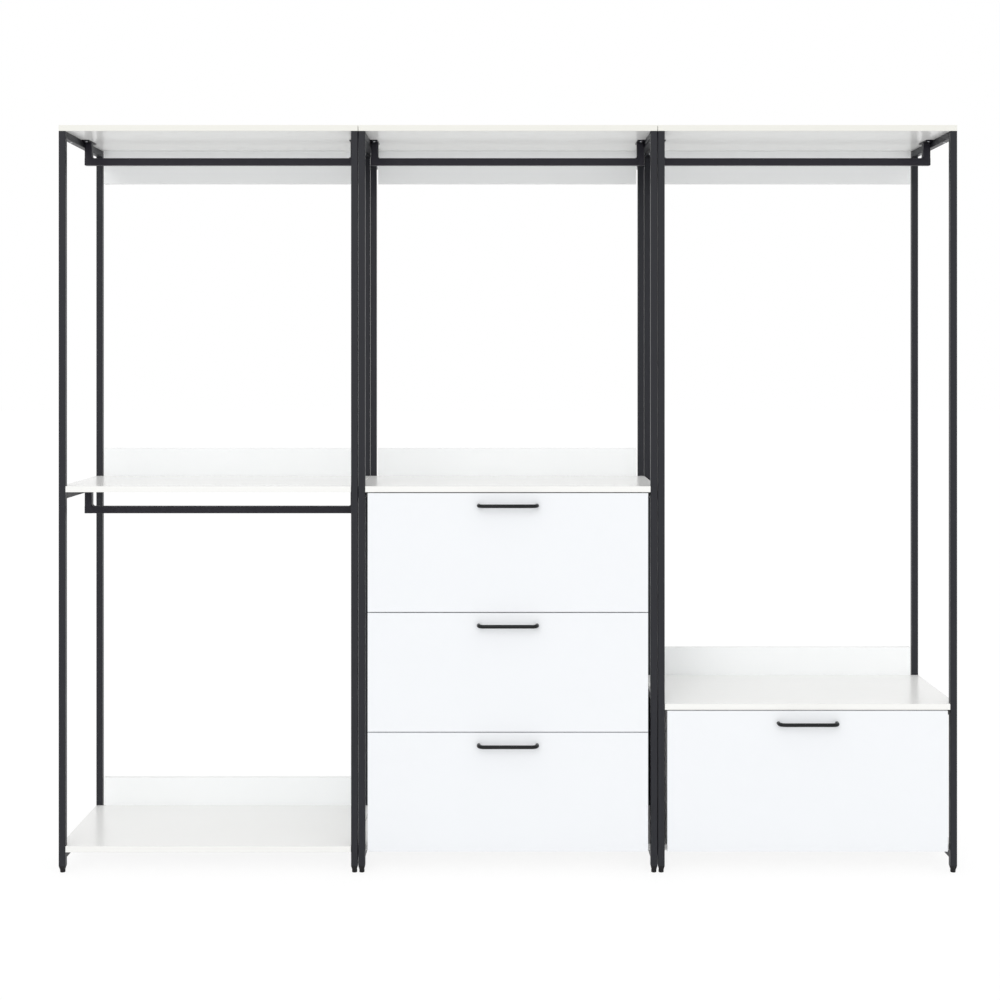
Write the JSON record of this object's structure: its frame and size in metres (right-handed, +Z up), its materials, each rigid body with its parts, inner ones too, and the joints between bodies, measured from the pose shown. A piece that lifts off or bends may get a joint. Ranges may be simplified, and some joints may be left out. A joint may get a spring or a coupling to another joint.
{
  "type": "freestanding closet system",
  "caption": "Freestanding open closet of side-by-side units with black steel tube side frames, white shelves, square hanging rails and pull-out drawers with bow handles.",
  "frame": {"origin": "on the floor under the middle of the object's bounding box", "axes": "+Z up; the front faces -Y; +X runs along the row of units, towards the long hanging unit"},
  "size_m": [2.403, 0.428, 2],
  "materials": {
    "black_steel": "charcoal black powder coat, satin",
    "rail_steel": "charcoal black powder coat, satin",
    "black_plastic": "moulded, matte",
    "shelf_laminate": "white laminate on particle board, satin",
    "panel_laminate": "white laminate on particle board, satin",
    "front_laminate": "bluish white laminate, satin",
    "box_foil": "white foil on fibreboard, satin",
    "floor_panel": "white lacquered hardboard",
    "zinc_steel": "bright zinc plate",
    "black_handle": "black lacquer, satin"
  },
  "bodies": {
    "standing_frame": {"left_unit_left_frame": "black_steel", "left_unit_right_frame": "black_steel", "centre_unit_left_frame": "black_steel", "centre_unit_right_frame": "black_steel", "right_unit_left_frame": "black_steel", "right_unit_right_frame": "black_steel", "left_top_board": "shelf_laminate", "centre_top_board": "shelf_laminate", "right_top_board": "shelf_laminate", "left_mid_shelf": "shelf_laminate", "left_bottom_shelf": "shelf_laminate", "centre_mid_shelf": "shelf_laminate", "right_low_shelf": "shelf_laminate", "left_top_back_board": "panel_laminate", "left_mid_back_board": "panel_laminate", "left_bottom_back_board": "panel_laminate", "centre_top_back_board": "panel_laminate", "centre_mid_back_board": "panel_laminate", "right_top_back_board": "panel_laminate", "right_low_back_board": "panel_laminate", "left_upper_hanging_rail": "rail_steel", "left_lower_hanging_rail": "rail_steel", "centre_hanging_rail": "rail_steel", "right_hanging_rail": "rail_steel", "cabinet_sides": "panel_laminate", "cabinet_backs": "floor_panel", "centre_cabinet_bottom": "shelf_laminate", "right_cabinet_bottom": "shelf_laminate", "cabinet_runners": "zinc_steel", "post_feet": "black_plastic", "wood_screws": "zinc_steel", "link_bolts": "zinc_steel"},
    "upper_drawer": {"upper_drawer_front": "front_laminate", "upper_drawer_box": "box_foil", "upper_drawer_floor": "floor_panel", "upper_drawer_handle": "black_handle", "upper_drawer_handle_screws": "zinc_steel", "upper_drawer_runners": "zinc_steel"},
    "upper_drawer_mid_slide": {"upper_drawer_mid_runners": "zinc_steel"},
    "middle_drawer": {"middle_drawer_front": "front_laminate", "middle_drawer_box": "box_foil", "middle_drawer_floor": "floor_panel", "middle_drawer_handle": "black_handle", "middle_drawer_handle_screws": "zinc_steel", "middle_drawer_runners": "zinc_steel"},
    "middle_drawer_mid_slide": {"middle_drawer_mid_runners": "zinc_steel"},
    "lower_drawer": {"lower_drawer_front": "front_laminate", "lower_drawer_box": "box_foil", "lower_drawer_floor": "floor_panel", "lower_drawer_handle": "black_handle", "lower_drawer_handle_screws": "zinc_steel", "lower_drawer_runners": "zinc_steel"},
    "lower_drawer_mid_slide": {"lower_drawer_mid_runners": "zinc_steel"},
    "deep_drawer": {"deep_drawer_front": "front_laminate", "deep_drawer_box": "box_foil", "deep_drawer_floor": "floor_panel", "deep_drawer_handle": "black_handle", "deep_drawer_handle_screws": "zinc_steel", "deep_drawer_runners": "zinc_steel"},
    "deep_drawer_mid_slide": {"deep_drawer_mid_runners": "zinc_steel"}
  },
  "joints": [
    {"name": "upper_drawer_slide", "type": "slide", "parent": "standing_frame", "child": "upper_drawer", "axis": [0, -1, 0], "range_m": [0, 0.33]},
    {"name": "upper_drawer_mid_slide_travel", "type": "slide", "parent": "standing_frame", "child": "upper_drawer_mid_slide", "axis": [0, -1, 0], "range_m": [0, 0.165]},
    {"name": "middle_drawer_slide", "type": "slide", "parent": "standing_frame", "child": "middle_drawer", "axis": [0, -1, 0], "range_m": [0, 0.33]},
    {"name": "middle_drawer_mid_slide_travel", "type": "slide", "parent": "standing_frame", "child": "middle_drawer_mid_slide", "axis": [0, -1, 0], "range_m": [0, 0.165]},
    {"name": "lower_drawer_slide", "type": "slide", "parent": "standing_frame", "child": "lower_drawer", "axis": [0, -1, 0], "range_m": [0, 0.33]},
    {"name": "lower_drawer_mid_slide_travel", "type": "slide", "parent": "standing_frame", "child": "lower_drawer_mid_slide", "axis": [0, -1, 0], "range_m": [0, 0.165]},
    {"name": "deep_drawer_slide", "type": "slide", "parent": "standing_frame", "child": "deep_drawer", "axis": [0, -1, 0], "range_m": [0, 0.33]},
    {"name": "deep_drawer_mid_slide_travel", "type": "slide", "parent": "standing_frame", "child": "deep_drawer_mid_slide", "axis": [0, -1, 0], "range_m": [0, 0.165]}
  ],
  "couplings": [
    {"joint": "upper_drawer_mid_slide_travel", "follows": "upper_drawer_slide", "ratio": 0.5},
    {"joint": "middle_drawer_mid_slide_travel", "follows": "middle_drawer_slide", "ratio": 0.5},
    {"joint": "lower_drawer_mid_slide_travel", "follows": "lower_drawer_slide", "ratio": 0.5},
    {"joint": "deep_drawer_mid_slide_travel", "follows": "deep_drawer_slide", "ratio": 0.5}
  ]
}
